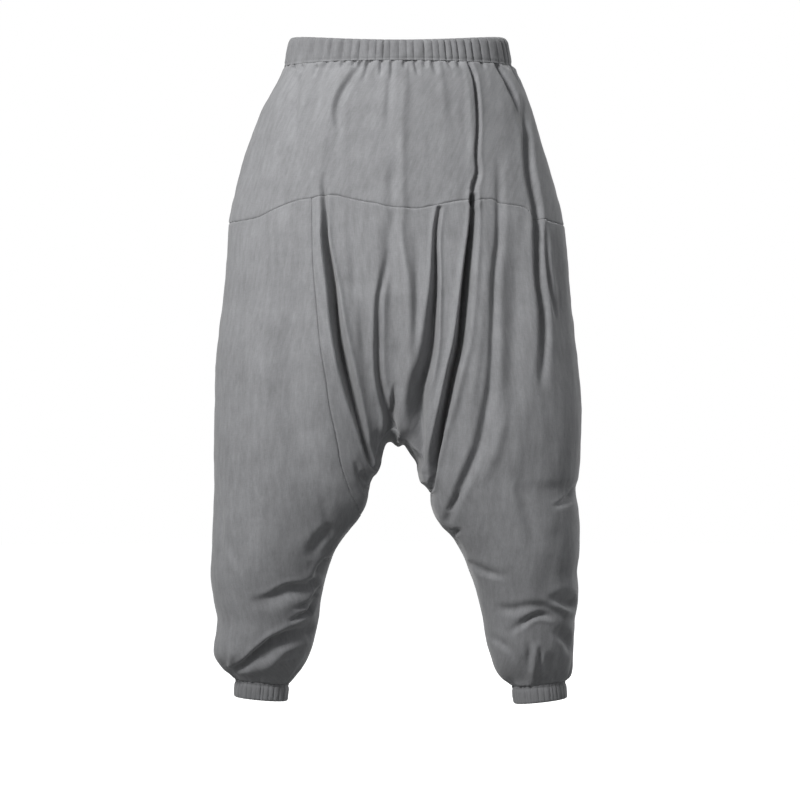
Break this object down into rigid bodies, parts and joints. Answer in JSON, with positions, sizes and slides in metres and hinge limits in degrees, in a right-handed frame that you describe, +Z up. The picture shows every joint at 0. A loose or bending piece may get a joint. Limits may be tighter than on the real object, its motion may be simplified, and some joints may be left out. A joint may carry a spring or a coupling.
{
  "type": "harem pants",
  "caption": "Grey drop-crotch harem pants, standing open as if worn, with a gathered elastic waistband, a yoke, a pleated centre panel, full legs and elastic ankle cuffs.",
  "frame": {"origin": "the middle of the waistband's opening, half way up the band, where a wearer's waist holds it", "axes": "+Z up out of the waist, the cloth's front faces -Y, and the wearer's right leg is at -X"},
  "size_m": [0.503, 0.2666, 0.9048],
  "materials": {
    "cloth": "matte",
    "casing": "matte"
  },
  "bodies": {
    "root": {"waistband": "casing", "yoke_front": "cloth", "yoke_back": "cloth", "centre_panel_front": "cloth", "centre_panel_back": "cloth", "right_leg_front": "cloth", "right_leg_back": "cloth", "left_leg_front": "cloth", "left_leg_back": "cloth", "right_cuff": "casing", "left_cuff": "casing"}
  },
  "joints": []
}
